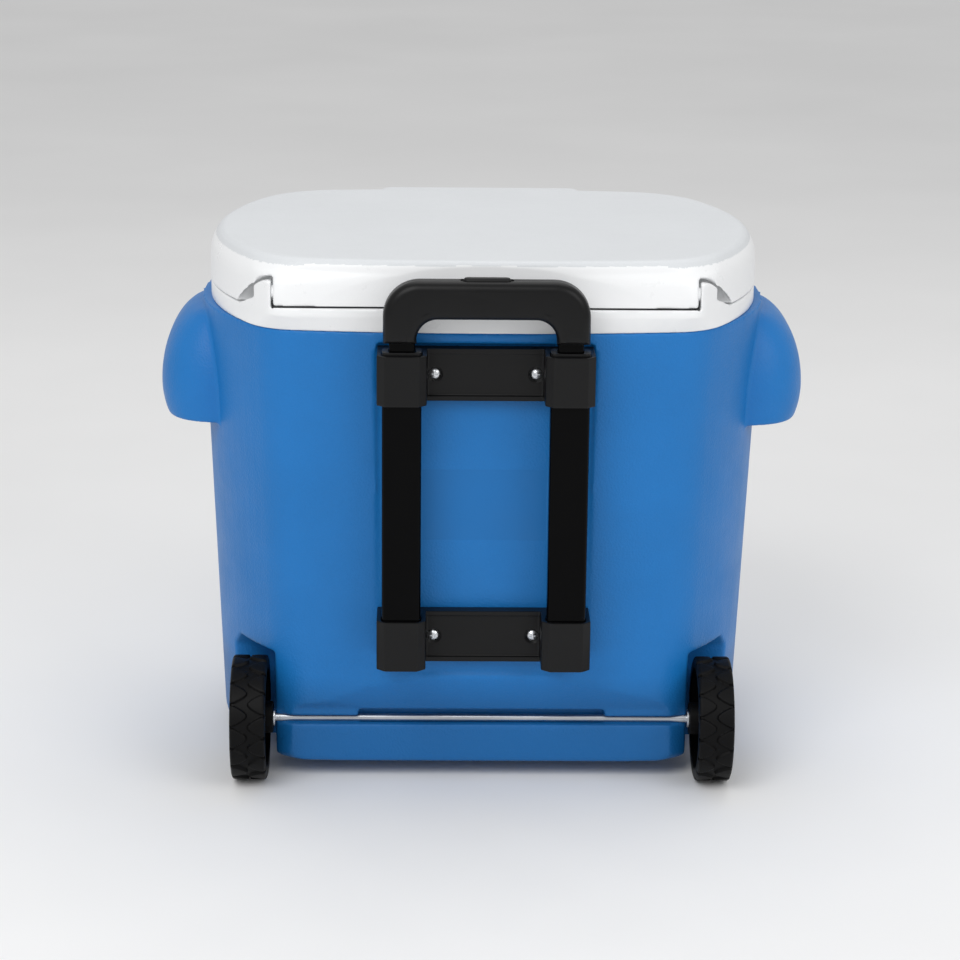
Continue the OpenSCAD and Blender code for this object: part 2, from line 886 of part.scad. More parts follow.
module wheel(side) {
    half_pitch = 180 / lug_count;
    color(black) place() translate([0, axle_y, wheel_r]) scale([side, 1, 1]) difference() {
        union() {
            along_x(wheel_x, wheel_x + wheel_w / 2) tread_outline(0);
            along_x(wheel_x + wheel_w / 2, wheel_x + wheel_w) tread_outline(half_pitch);
            rod_x(16, wheel_x - 5.5, wheel_x + wheel_w);
        }
        rod_x(axle_r + run_fit, wheel_x - 6, wheel_x + wheel_w + 1);
        difference() {
            rod_x(50, wheel_x + wheel_w - 13, wheel_x + wheel_w + 1);
            rod_x(17, wheel_x, wheel_x + wheel_w + 1);
        }
        difference() {
            rod_x(50, wheel_x - 1, wheel_x + 14);
            rod_x(16, wheel_x - 6, wheel_x + wheel_w);
        }
        rod_x(12, wheel_x + wheel_w - 8, wheel_x + wheel_w + 1);
        for (i = [0:5]) rotate([i * 60, 0, 0]) translate([0, 0, 33]) rod_x(9, wheel_x, wheel_x + wheel_w + 1);
    }
}

module wheel_left() {
    wheel(-1);
}

module wheel_right() {
    wheel(1);
}

// Cap snapped into the hub over the end of the axle
module hub_cap(side) {
    color(black) place() translate([0, axle_y, wheel_r]) scale([side, 1, 1]) difference() {
        rod_x(12, wheel_x + wheel_w - 8, wheel_x + wheel_w);
        rod_x(9.5, wheel_x + wheel_w - 9, wheel_x + wheel_w - 2);
    }
}

module hub_cap_left() {
    hub_cap(-1);
}

module hub_cap_right() {
    hub_cap(1);
}

axle_end = wheel_x + wheel_w - 4;

module axle() {
    color(zinc) place() translate([0, axle_y, wheel_r]) rod_x(axle_r, -axle_end, axle_end);
}

module axle_washers() {
    color(zinc) place() translate([0, axle_y, wheel_r]) both_sides() difference() {
        rod_x(9, well_x + 0.6, wheel_x - 6.1);
        rod_x(axle_r, well_x, wheel_x);
    }
}

module axle_push_nuts() {
    nut_x = wheel_x + wheel_w - 7.5;
    color(zinc) place() translate([0, axle_y, wheel_r]) both_sides() difference() {
        rod_x(7.5, nut_x, nut_x + 1.5);
        rod_x(axle_r, nut_x - 1, nut_x + 3);
    }
}

// ---------- Drain ----------

drain_wall_y = chest_half_d - (shell_top - drain_z) * end_draft;

module at_drain() {
    translate([drain_x, 0, drain_z]) children();
}

module drain_spout() {
    color(white) place() at_drain() difference() {
        union() {
            rod_y_axis(drain_r, 138, drain_wall_y + 2);
            rod_y_axis(drain_r + 8, drain_wall_y + 2, drain_wall_y + 6);
        }
        rod_y_axis(drain_r - 3, 130, 230);
    }
}

module drain_gasket() {
    color(black) place() at_drain() difference() {
        rod_y_axis(drain_r + 6, drain_wall_y - 1, drain_wall_y + 2);
        rod_y_axis(drain_r, 180, 230);
    }
}

module drain_nut() {
    color(white) place() at_drain() difference() {
        translate([0, 144, 0]) rotate([90, 0, 0]) cylinder(r = drain_r + 8, h = 6, $fn = 6);
        rod_y_axis(drain_r, 130, 230);
    }
}

module drain_plug() {
    y = drain_wall_y + 6;
    color(white) place() at_drain() {
        rod_y_axis(drain_r + 5, y + 0.4, y + 8);
        difference() {
            rod_y_axis(drain_r - 4, y - 14, y + 1);
            plug_seal_ring();
        }
        block(-drain_r, drain_r, y + 7, y + 13, -2, 2);
    }
}

module plug_seal_ring() {
    translate([0, drain_wall_y - 4, 0]) rotate([90, 0, 0])
        rotate_extrude() translate([drain_r - 4.1, 0]) circle(0.9);
}

module drain_plug_seal() {
    color(black) place() at_drain() plug_seal_ring();
}

outer_shell();
insulation_foam();
inner_liner();
upper_bracket();
lower_bracket();
upper_bracket_screws();
lower_bracket_screws();
outer_tube_left();
outer_tube_right();
tube_bush_left();
tube_bush_right();
hinge_pin_left();
hinge_pin_right();
axle();
axle_washers();
axle_push_nuts();
drain_spout();
drain_gasket();
drain_nut();
lid_top();
lid_foam();
lid_inner_panel();
grip_front();
grip_rear();
grip_screws();
inner_tube_left();
inner_tube_right();
guide_block_left();
guide_block_right();
release_button();
release_yoke();
release_rod_left();
release_rod_right();
release_spring();
lock_pin_left();
lock_pin_right();
wheel_left();
hub_cap_left();
wheel_right();
hub_cap_right();
drain_plug();
drain_plug_seal();
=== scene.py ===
"""Looks of a cooler chest on wheels: moulded shells, rim, lid, grip, brackets and treaded wheels."""

import json
import math

import bmesh
import bpy
from mathutils import Matrix, Vector


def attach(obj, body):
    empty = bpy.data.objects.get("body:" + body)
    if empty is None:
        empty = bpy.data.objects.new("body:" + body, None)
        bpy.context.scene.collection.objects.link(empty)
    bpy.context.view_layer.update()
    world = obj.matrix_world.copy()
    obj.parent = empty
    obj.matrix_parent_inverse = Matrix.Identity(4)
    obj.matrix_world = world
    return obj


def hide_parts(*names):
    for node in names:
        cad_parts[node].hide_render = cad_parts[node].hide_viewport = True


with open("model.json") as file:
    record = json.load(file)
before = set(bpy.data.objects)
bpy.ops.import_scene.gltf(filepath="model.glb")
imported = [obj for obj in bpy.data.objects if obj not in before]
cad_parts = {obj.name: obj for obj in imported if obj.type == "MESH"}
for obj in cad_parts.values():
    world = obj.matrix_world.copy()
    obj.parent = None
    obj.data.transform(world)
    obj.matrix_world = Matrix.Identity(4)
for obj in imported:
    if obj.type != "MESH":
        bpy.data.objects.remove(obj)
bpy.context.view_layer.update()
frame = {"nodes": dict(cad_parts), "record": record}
nodes = frame["nodes"]

# ---------- Sizes, in millimetres from the middle of the chest ----------

MM = 0.001
CHEST_MID_Y = 14  # the chest's own middle, in the part's frame

CHEST_HALF_W = 286
CHEST_HALF_D = 200
SHELL_TOP = 466
UNDERSIDE = 18
SIDE_BOW_R = 255
END_BOW_R = 1500
CORNER_R = 62
SIDE_DRAFT = 0.040
END_DRAFT = 0.014
BASE_FILLET = 10
WALL = 3
INSULATED_WALL = 38

SEAM_Z = 483
RIM_HALF_W = 278
RIM_BOW_R = 300
LID_SHIFT = 4
LID_LOW = SEAM_Z + 0.8
LID_TOP_Z = 535
LIP_REACH = 19
FLAP_HALF_W = 205
FLAP_LOW = 490.5
FLAP_Y = -192.5
PIN_Y = -180
PIN_Z = 502.5
FLAP_SWEEP_R = 18
EAR_SWEEP_R = 15.3
EAR_FRONT = -142
EAR_X = 207
EAR_W = 34
EAR_H = 31
PLUG_LOW = SEAM_Z - 12
LINER_LOW = 60

RECESS_HALF_W = 106
RECESS_LOW = 117
RECESS_HIGH = 456
RECESS_Y = -192
PLATE_HALF_W = 62
PLATE_LOW = 256
PLATE_HIGH = 329
PAINTED_SHADE_FULL = 80  # painted shade on the shell is full below this height
PAINTED_SHADE_END = 112

TUBE_X = 80.5
TUBE_Y = -227
GRIP_Y = -233
GRIP_DEPTH = 28
GRIP_HALF_W = 98.5
GRIP_OPEN_HALF_W = 66.5
GRIP_OPEN_TOP = 489
GRIP_TOP = 526
GRIP_LEG_LOW = 465.5
BUTTON_HALF_W = 22.5

WHEEL_R = 62.5
WHEEL_X = 215
WHEEL_W = 35
AXLE_Y = -170
AXLE_R = 4
WELL_X = 207
WELL_Y = AXLE_Y + WHEEL_R + 7.5
WELL_TOP = 2 * WHEEL_R + 7
LUG_COUNT = 17

DRAIN_X = 130
DRAIN_Z = 88
DRAIN_R = 12


# ---------- Outlines ----------

def arc(centre, radius, start, end, steps, skip_first=False):
    """Points on an arc, angles in degrees."""
    first = 1 if skip_first else 0
    return [
        (
            centre[0] + radius * math.cos(math.radians(start + (end - start) * i / steps)),
            centre[1] + radius * math.sin(math.radians(start + (end - start) * i / steps)),
        )
        for i in range(first, steps + 1)
    ]


def bowed(half_w, half_d, side_r, end_r, corner_r):
    """A closed outline of bowed sides and ends with round corners, each arc tangent to the next."""
    side_c = Vector((half_w - side_r, 0))
    end_c = Vector((0, half_d - end_r))
    gap = end_c - side_c
    dist = gap.length
    along = gap / dist
    u = (dist**2 + (side_r - corner_r) ** 2 - (end_r - corner_r) ** 2) / (2 * dist)
    h = math.sqrt((side_r - corner_r) ** 2 - u * u)
    corner_c = side_c + u * along + h * Vector((-along.y, along.x))
    t1 = math.degrees(math.atan2(corner_c.y - side_c.y, corner_c.x - side_c.x))
    t2 = math.degrees(math.atan2(corner_c.y - end_c.y, corner_c.x - end_c.x))
    quarter = arc(side_c, side_r, 0, t1, 14)
    quarter += arc(corner_c, corner_r, t1, t2, 18, True)
    quarter += arc(end_c, end_r, t2, 90, 12, True)
    return (
        quarter
        + [(-x, y) for x, y in quarter[-2::-1]]
        + [(-x, -y) for x, y in quarter[1:]]
        + [(x, -y) for x, y in quarter[-2:0:-1]]
    )


def chest_ring(z, inset):
    half_w = CHEST_HALF_W - (SHELL_TOP - z) * SIDE_DRAFT - inset
    half_d = CHEST_HALF_D - (SHELL_TOP - z) * END_DRAFT - inset
    ring = bowed(half_w, half_d, SIDE_BOW_R - inset, END_BOW_R - inset, CORNER_R - inset)
    return [(x, y, z) for x, y in ring]


def rim_ring(z, square, inset_x, inset_y, shift=0):
    ring = bowed(
        RIM_HALF_W - inset_x,
        CHEST_HALF_D - inset_y,
        RIM_BOW_R - inset_x,
        END_BOW_R + max(0, square) * 2500,
        CORNER_R - square * 36 - min(inset_x, inset_y),
    )
    return [(x, y + shift, z) for x, y in ring]


def cavity_ring(z, inset, wide=1.0):
    half_w = CHEST_HALF_W - INSULATED_WALL - (SHELL_TOP - z) * SIDE_DRAFT - inset
    half_d = CHEST_HALF_D - INSULATED_WALL - 2 - (SHELL_TOP - z) * END_DRAFT - inset
    ring = bowed(half_w, half_d, SIDE_BOW_R - inset, END_BOW_R - inset, CORNER_R - inset)
    return [(x * wide, y * wide, z) for x, y in ring]


# ---------- Mesh building ----------

def make_object(name, bm):
    mesh = bpy.data.meshes.new(name)
    bmesh.ops.recalc_face_normals(bm, faces=bm.faces)
    bm.to_mesh(mesh)
    bm.free()
    piece = bpy.data.objects.new(name, mesh)
    bpy.context.scene.collection.objects.link(piece)
    return piece


def loft(name, rings, around=False):
    """A closed solid through rings of equal length; around joins the last ring to the first."""
    bm = bmesh.new()
    rows = [[bm.verts.new((x * MM, (y + CHEST_MID_Y) * MM, z * MM)) for x, y, z in r] for r in rings]
    count = len(rows[0])
    pairs = list(zip(rows, rows[1:])) + ([(rows[-1], rows[0])] if around else [])
    for low, high in pairs:
        for i in range(count):
            j = (i + 1) % count
            bm.faces.new((low[i], low[j], high[j], high[i]))
    if not around:
        caps = [bm.faces.new(rows[0]), bm.faces.new(rows[-1])]
        bmesh.ops.triangulate(bm, faces=caps)
    return make_object(name, bm)


def along_x(name, outline, x0, x1):
    return loft(name, [[(x, y, z) for y, z in outline] for x in (x0, x1)])


def along_y(name, outline, y0, y1):
    return loft(name, [[(x, y, z) for x, z in outline] for y in (y0, y1)])


def block(name, x0, x1, y0, y1, z0, z1):
    return along_x(name, [(y0, z0), (y1, z0), (y1, z1), (y0, z1)], x0, x1)


def rod_x(name, radius, y, z, x0, x1, steps=64):
    return along_x(name, arc((y, z), radius, 0, 360, steps)[:-1], x0, x1)


def rod_y(name, radius, x, z, y0, y1, steps=48):
    return along_y(name, arc((x, z), radius, 0, 360, steps)[:-1], y0, y1)


def bake(piece):
    """Applies the piece's modifiers to its mesh."""
    graph = bpy.context.evaluated_depsgraph_get()
    mesh = bpy.data.meshes.new_from_object(piece.evaluated_get(graph))
    piece.modifiers.clear()
    old = piece.data
    piece.data = mesh
    bpy.data.meshes.remove(old)
    return piece


def combine(piece, others, operation):
    for other in others:
        modifier = piece.modifiers.new("combine", "BOOLEAN")
        modifier.operation = operation
        modifier.solver = "EXACT"
        modifier.object = other
        bake(piece)
        bpy.data.objects.remove(other)
    return piece


def cut(piece, *others):
    return combine(piece, others, "DIFFERENCE")


def join(piece, *others):
    return combine(piece, others, "UNION")


def keep(piece, other):
    return combine(piece, (other,), "INTERSECT")


def gather(piece, *others):
    """Puts several closed meshes into one; the remesh that follows makes them one skin."""
    bm = bmesh.new()
    for item in (piece, *others):
        bm.from_mesh(item.data)
    bm.to_mesh(piece.data)
    bm.free()
    for item in others:
        bpy.data.objects.remove(item)
    return piece


def soften(piece, voxel, passes, share):
    """Turns a hard-edged solid into one moulded skin with rounded edges."""
    remesh = piece.modifiers.new("skin", "REMESH")
    remesh.mode = "VOXEL"
    remesh.voxel_size = voxel * MM
    smooth = piece.modifiers.new("round", "SMOOTH")
    smooth.factor = 0.5
    smooth.iterations = passes
    if share < 1:
        lean = piece.modifiers.new("lean", "DECIMATE")
        lean.ratio = share
    return bake(piece)


def smooth_shade(piece, angle=38):
    for polygon in piece.data.polygons:
        polygon.use_smooth = True
    piece.data.set_sharp_from_angle(angle=math.radians(angle))
    return piece


def copy_of(node, name):
    """A new piece with a CAD node's shape, its split vertices joined again."""
    bm = bmesh.new()
    bm.from_mesh(nodes[node].data)
    bmesh.ops.remove_doubles(bm, verts=bm.verts, dist=1e-6)
    return make_object(name, bm)


def bevelled(node, name, width, segments=3):
    piece = copy_of(node, name)
    bm = bmesh.new()
    bm.from_mesh(piece.data)
    bmesh.ops.dissolve_limit(bm, angle_limit=math.radians(1), verts=bm.verts, edges=bm.edges)
    bm.to_mesh(piece.data)
    bm.free()
    bevel = piece.modifiers.new("bevel", "BEVEL")
    bevel.width = width * MM
    bevel.segments = segments
    bevel.limit_method = "ANGLE"
    bevel.angle_limit = math.radians(35)
    bake(piece)
    return smooth_shade(piece, 30)


# ---------- Materials ----------

class Graph:
    """A short way to write a material's nodes."""

    def __init__(self, name):
        self.material = bpy.data.materials.new(name)
        self.material.use_nodes = True
        self.nodes = self.material.node_tree.nodes
        self.links = self.material.node_tree.links
        self.shader = self.nodes["Principled BSDF"]
        self.coords = self.nodes.new("ShaderNodeTexCoord").outputs["Object"]

    def add(self, kind, inputs=None, **settings):
        node = self.nodes.new(kind)
        for key, value in settings.items():
            setattr(node, key, value)
        for key, value in (inputs or {}).items():
            if isinstance(value, bpy.types.NodeSocket):
                self.links.new(value, node.inputs[key])
            else:
                node.inputs[key].default_value = value
        return node

    def noise(self, scale, detail=3, roughness=0.5, stretch=None):
        vector = self.coords
        if stretch:
            vector = self.add("ShaderNodeMapping", {"Vector": vector, "Scale": stretch}).outputs[0]
        return self.add(
            "ShaderNodeTexNoise",
            {"Vector": vector, "Scale": scale, "Detail": detail, "Roughness": roughness},
        ).outputs["Fac"]

    def pebbles(self, scale):
        return self.add(
            "ShaderNodeTexVoronoi",
            {"Vector": self.coords, "Scale": scale, "Smoothness": 0.6},
            feature="SMOOTH_F1",
        ).outputs["Distance"]

    def ramp(self, value, low, high, to_low=0.0, to_high=1.0):
        return self.add(
            "ShaderNodeMapRange",
            {"Value": value, "From Min": low, "From Max": high, "To Min": to_low, "To Max": to_high},
        ).outputs[0]

    def maths(self, operation, a, b):
        return self.add("ShaderNodeMath", {0: a, 1: b}, operation=operation).outputs[0]

    def mix(self, factor, a, b):
        node = self.add("ShaderNodeMix", {"Factor": factor}, data_type="RGBA")
        for index, value in ((6, a), (7, b)):
            if isinstance(value, bpy.types.NodeSocket):
                self.links.new(value, node.inputs[index])
            else:
                node.inputs[index].default_value = (*value, 1)
        return node.outputs[2]

    def bump(self, height, strength, distance, normal=None):
        inputs = {"Height": height, "Strength": strength, "Distance": distance * MM}
        if normal:
            inputs["Normal"] = normal
        return self.add("ShaderNodeBump", inputs).outputs[0]

    def finish(self, colour, roughness, normal, metallic=0.0, specular=0.5):
        self.links.new(colour, self.shader.inputs["Base Color"])
        self.links.new(roughness, self.shader.inputs["Roughness"])
        self.links.new(normal, self.shader.inputs["Normal"])
        self.shader.inputs["Metallic"].default_value = metallic
        self.shader.inputs["Specular IOR Level"].default_value = specular
        return self.material


def scaled(colour, factor):
    return tuple(min(1, c * factor) for c in colour)


def moulded(name, colour, rough, grain, depth, vary=0.06, wear=0.15, specular=0.5, shell=False):
    """Moulded plastic: pebble grain, slight colour drift, paler worn edges and fine scuffs.

    The shell's also has the smooth label plate and painted shade, darker towards the bottom.
    """
    g = Graph(name)
    drift = g.ramp(g.noise(7, 4, 0.6), 0.3, 0.7)
    tone = g.mix(drift, scaled(colour, 1 - vary), scaled(colour, 1 + vary))
    fine = g.noise(grain * 2.3, 2, 0.6)
    speck = g.ramp(fine, 0.35, 0.65)
    tone = g.mix(g.maths("MULTIPLY", speck, 0.16), tone, scaled(colour, 1.35))
    edge = g.ramp(g.add("ShaderNodeNewGeometry").outputs["Pointiness"], 0.52, 0.60)
    patchy = g.maths("MULTIPLY", edge, g.ramp(g.noise(60, 4, 0.7), 0.35, 0.65, 0.2, 1.0))
    tone = g.mix(g.maths("MULTIPLY", patchy, wear), tone, scaled(tuple(c + 0.06 for c in colour), 1.5))
    height = g.maths("ADD", g.maths("MULTIPLY", g.pebbles(grain), 0.7), g.maths("MULTIPLY", fine, 0.5))
    roughness = g.ramp(g.noise(22, 5, 0.65), 0.3, 0.7, rough - 0.05, rough + 0.07)
    if shell:
        split = g.add("ShaderNodeSeparateXYZ", {0: g.coords})
        across = g.maths("ABSOLUTE", split.outputs["X"], 0.0)
        inside_x = g.ramp(across, (PLATE_HALF_W - 1) * MM, PLATE_HALF_W * MM, 1, 0)
        middle = (PLATE_LOW + PLATE_HIGH) / 2 * MM
        half = (PLATE_HIGH - PLATE_LOW) / 2 * MM
        off = g.maths("ABSOLUTE", g.maths("SUBTRACT", split.outputs["Z"], middle), 0.0)
        inside_z = g.ramp(off, half - MM, half, 1, 0)
        rear = g.ramp(split.outputs["Y"], -0.15, -0.14, 1, 0)
        plate = g.maths("MULTIPLY", g.maths("MULTIPLY", inside_x, inside_z), rear)
        height = g.maths("MULTIPLY", height, g.maths("SUBTRACT", 1.0, g.maths("MULTIPLY", plate, 0.85)))
        tone = g.mix(g.maths("MULTIPLY", plate, 0.5), tone, scaled(colour, 0.88))
        # painted shade: the shell's blue is darkened below the crease, over the sloping undercut and the
        # recessed base panel
        low = g.ramp(split.outputs["Z"], PAINTED_SHADE_FULL * MM, PAINTED_SHADE_END * MM, 1, 0)
        tone = g.mix(g.maths("MULTIPLY", low, 0.75), tone, scaled(colour, 0.66))
    normal = g.bump(height, 1.0, depth)
    normal = g.bump(g.noise(9, 2, 0.5), 0.5, 0.5, normal)
    lines = g.ramp(g.noise(14, 6, 0.8, (1, 1, 9)), 0.62, 0.70)
    roughness = g.maths("ADD", roughness, g.maths("MULTIPLY", lines, 0.06))
    return g.finish(tone, roughness, normal, specular=specular)


def metal(name, colour, rough, stretch, metallic=1.0, specular=0.5, grain=500):
    """Drawn or plated metal: fine lines along the drawing direction and faint cloudy marks."""
    g = Graph(name)
    cloud = g.ramp(g.noise(35, 4, 0.6), 0.3, 0.7)
    tone = g.mix(cloud, scaled(colour, 0.86), scaled(colour, 1.08))
    lines = g.noise(grain, 3, 0.6, stretch)
    roughness = g.ramp(lines, 0.3, 0.7, rough * 0.75, rough * 1.3)
    normal = g.bump(lines, 0.35, 0.03)
    return g.finish(tone, roughness, normal, metallic=metallic, specular=specular)


def foam_material():
    g = Graph("foam_cream")
    tone = g.mix(g.ramp(g.noise(30, 4), 0.3, 0.7), (0.66, 0.56, 0.33), (0.80, 0.72, 0.48))
    return g.finish(tone, g.ramp(g.noise(90), 0.3, 0.7, 0.85, 0.98), g.bump(g.pebbles(600), 0.8, 0.4))


def rubber_material():
    g = Graph("seal_rubber")
    tone = g.mix(g.noise(80, 3), (0.012, 0.012, 0.013), (0.030, 0.030, 0.032))
    return g.finish(tone, g.ramp(g.noise(60), 0.3, 0.7, 0.55, 0.75), g.bump(g.noise(900), 0.4, 0.08))


BLUE = (0.008, 0.160, 0.470)
# the lid top's colour: the lid's white painted darker as painted shade on the upward faces
LID_SHADED_GREY = (0.64, 0.66, 0.68)
RIM_WHITE = (0.84, 0.85, 0.86)
BLACK = (0.0042, 0.0042, 0.0045)

shell_blue = moulded("shell_blue", BLUE, 0.42, 420, 0.36, wear=0.10, specular=0.32, shell=True)
lid_white = moulded("lid_white", LID_SHADED_GREY, 0.46, 560, 0.20, vary=0.02, wear=0.10)
rim_white = moulded("rim_white", RIM_WHITE, 0.30, 900, 0.03, vary=0.012, wear=0.0)
bracket_black = moulded("bracket_black", BLACK, 0.36, 1300, 0.03, vary=0.2, wear=0.06, specular=0.22)
grip_black = moulded("grip_black", scaled(BLACK, 0.9), 0.33, 1500, 0.025, vary=0.2, wear=0.05, specular=0.22)
wheel_black = moulded("wheel_black", scaled(BLACK, 0.6), 0.46, 1000, 0.05,
                      vary=0.25, wear=0.05, specular=0.12)
button_black = moulded("button_black", scaled(BLACK, 1.3), 0.40, 1500, 0.03,
                       vary=0.2, wear=0.08, specular=0.22)
tube_gloss = metal("tube_gloss", (0.001, 0.001, 0.0012), 0.16, (1, 1, 0.03),
                   metallic=0.0, specular=0.06, grain=220)
zinc = metal("zinc_plate", (0.70, 0.72, 0.75), 0.28, (1, 1, 1))
steel = metal("drawn_steel", (0.48, 0.50, 0.53), 0.30, (0.02, 1, 1))
foam = foam_material()
rubber = rubber_material()


def paint(piece, material):
    piece.data.materials.clear()
    piece.data.materials.append(material)


# ---------- Chest ----------

def chest_solid(name, inset, top):
    fillet = BASE_FILLET - inset
    low = UNDERSIDE + inset
    rings = []
    for step in range(10):
        a = math.radians(10 * step)
        rings.append(chest_ring(low + fillet * (1 - math.cos(a)), inset + fillet * (1 - math.sin(a))))
    rings += [chest_ring(z, inset) for z in (110, 200, 300, 390, top)]
    return loft(name, rings)


def undercut(grow):
    """The sloping lower rear face, below a crease that falls towards the sides."""
    crease = [(-215, 95), (-201, 98), (-113, 114), (113, 114), (201, 98), (215, 95)]
    face_y = -180 + grow
    return loft("undercut", [
        [
            (x, -230, z + grow), (x, -CHEST_HALF_D + 5 + grow, z + grow), (x, face_y, 76 + grow),
            (x, face_y + 3, 10), (x, -230, 10),
        ]
        for x, z in crease
    ])


def well(side, grow):
    outline = [
        (-400, -1), (WELL_Y + grow, -1), (WELL_Y + grow, WELL_TOP - 14),
        (WELL_Y - 14, WELL_TOP + grow), (-400, WELL_TOP + grow),
    ]
    x0, x1 = sorted((side * (WELL_X - grow), side * 400))
    return along_x("well", outline, x0, x1)


def recess(grow):
    return block("recess", -RECESS_HALF_W - grow, RECESS_HALF_W + grow, -400, RECESS_Y + grow,
                 RECESS_LOW - grow, RECESS_HIGH + grow)


def chest_cutters(grow):
    return well(-1, grow), well(1, grow), recess(grow), undercut(grow)


WING_ROOT_X = 245
WING_LOW = 347
WING_MID = 378
WING_HIGH = 456
WING_HALF_L = 92


def wing_reach(z):
    height = WING_HIGH - WING_MID + 1 if z > WING_MID else 62
    return 282 + 46 * math.sqrt(max(0, 1 - ((z - WING_MID) / height) ** 2))


def wing(side, inset, levels):
    """Side grip: a rounded wing that swells out of the side wall."""
    rings = []
    for z in levels:
        reach = wing_reach(z) - WING_ROOT_X - inset
        taper = 26 * ((z - WING_MID) / 78) ** 2 if z > WING_MID else 0
        half = WING_HALF_L - inset - taper
        ring = []
        for i in range(-20, 21):
            t = math.radians(4.5 * i)
            x = WING_ROOT_X + reach * max(0, math.cos(t)) ** 0.62
            ring.append((side * x, math.copysign(half * abs(math.sin(t)) ** 0.62, t), z))
        rings.append(ring)
    return loft("wing", rings)


def steps(low, high, count):
    return [low + (high - low) * i / count for i in range(count + 1)]


def side_grip(side):
    grip = wing(side, 0, steps(WING_LOW, WING_HIGH, 24))
    pocket = wing(side, 6, steps(WING_LOW - 1, 424, 8))
    cut(pocket, chest_solid("wall", 0, SHELL_TOP))
    return cut(grip, pocket)


def foot(x):
    low = [(x - 38, 114, 0), (x + 38, 114, 0), (x + 38, 146, 0), (x - 38, 146, 0)]
    high = [(x - 44, 108, 20), (x + 44, 108, 20), (x + 44, 152, 20), (x - 44, 152, 20)]
    return loft("foot", [low, high])


def outer_shell():
    shell = cut(chest_solid("shell_skin", 0, SHELL_TOP), *chest_cutters(0))
    pocket = block("pocket", -124, 124, -300, AXLE_Y + AXLE_R + 1, WHEEL_R - 4, WHEEL_R + 12)
    groove_half = AXLE_R + 0.5
    groove = block("groove", -WELL_X - 1, WELL_X + 1, -300, AXLE_Y,
                   WHEEL_R - groove_half, WHEEL_R + groove_half)
    cut(shell, pocket, groove)
    gather(shell, side_grip(-1), side_grip(1), foot(-150), foot(150))
    soften(shell, 2.0, 5, 0.3)
    raise_plate(shell)
    space = cut(chest_solid("space", WALL, SHELL_TOP - WALL), *chest_cutters(WALL),
                block("axle_wall", -WELL_X - 3, WELL_X + 3, -300, AXLE_Y + 9, 50, 84))
    mouth = loft("mouth", [chest_ring(SHELL_TOP - 2 * WALL, 20), chest_ring(SHELL_TOP + 3, 20)])
    bore = rod_y("bore", DRAIN_R, DRAIN_X, DRAIN_Z, 150, 230)
    seat = rod_x("seat", AXLE_R, AXLE_Y, WHEEL_R, -WELL_X - 2, WELL_X + 2)
    cut(shell, space, mouth, bore, seat)
    return smooth_shade(shell, 50)


def raise_plate(shell):
    """Lifts the smooth label plate half a millimetre out of the rear wall."""
    lift = 0.5
    for vertex in shell.data.vertices:
        x = abs(vertex.co.x) / MM
        z = vertex.co.z / MM
        y = vertex.co.y / MM - CHEST_MID_Y
        if y < RECESS_Y + 4:
            inside = min(PLATE_HALF_W - x, z - PLATE_LOW, PLATE_HIGH - z)
            vertex.co.y -= lift * MM * min(1, max(0, inside / 1.5))


# ---------- Rim and liner ----------

def ear_arch(side, gap, low, front=-100):
    curve = [
        (EAR_X - gap + i / 24 * (EAR_W + 2 * gap), SEAM_Z + gap + EAR_H * (1 - (i / 24) ** 2))
        for i in range(25)
    ]
    outline = [(EAR_X - gap, low), *curve, (EAR_X + EAR_W + gap, low)]
    return along_y("arch", [(side * x, z) for x, z in outline], -300, front)


def ear(side):
    knuckle = []
    for t in range(180, -1, -10):
        turn = math.radians(t)
        back = 3 if t > 90 else 0
        knuckle.append((PIN_Y + 12.5 * math.cos(turn) - back, PIN_Z + 11.5 * math.sin(turn)))
    outline = [(EAR_FRONT, SEAM_Z - 5), (-240, SEAM_Z - 5), (-240, PIN_Z), *knuckle,
               (PIN_Y + 12.5, PIN_Z - 8), (EAR_FRONT, SEAM_Z)]
    x0, x1 = sorted((side * (EAR_X - 5), side * (EAR_X + EAR_W + 5)))
    return keep(ear_arch(side, 0, SEAM_Z - 4), along_x("ear_side", outline, x0, x1))


def rim():
    """The white rim, its ledge under the lid's flap and the two hinge ears, as one skin."""
    lengths = (
        block("band", -400, 400, -300, 300, 0, SEAM_Z),
        block("ledge", -EAR_X - 1, EAR_X + 1, -300, PIN_Y, SEAM_Z - 5, FLAP_LOW - 1.5),
        ear(-1), ear(1),
    )
    parts = []
    for length in lengths:
        form = loft("rim_skin", [
            rim_ring(SHELL_TOP, 0, 1, 0), rim_ring(SEAM_Z - 1, 1, 1, 0), rim_ring(PIN_Z + 30, 1, 1, 0),
        ])
        sweep = rod_x("sweep", FLAP_SWEEP_R, PIN_Y, PIN_Z, -EAR_X + 0.4, EAR_X - 0.4)
        parts.append(cut(keep(form, length), sweep))
    return soften(gather(*parts), 1.3, 3, 0.35)


def cavity():
    """The storage space as a solid, with a step in its floor over the axle."""
    top = SEAM_Z + 20
    rings = [cavity_ring(LINER_LOW, 0, 0.96), cavity_ring(LINER_LOW + 12, 0)]
    rings += [cavity_ring(z, 0) for z in (200, 340, SEAM_Z - 4)]
    rings += [cavity_ring(SEAM_Z - 4 + 4 * math.sin(math.radians(a)), -4 * (1 - math.cos(math.radians(a))))
              for a in (30, 60, 90)]
    rings.append(cavity_ring(top, -4))
    space = loft("cavity", rings)
    hump = along_x("hump", [(-300, 0), (-82, 0), (-82, 125), (-112, 150), (-300, 150)], -300, 300)
    cut(space, hump)
    return soften(space, 3, 5, 0.3)


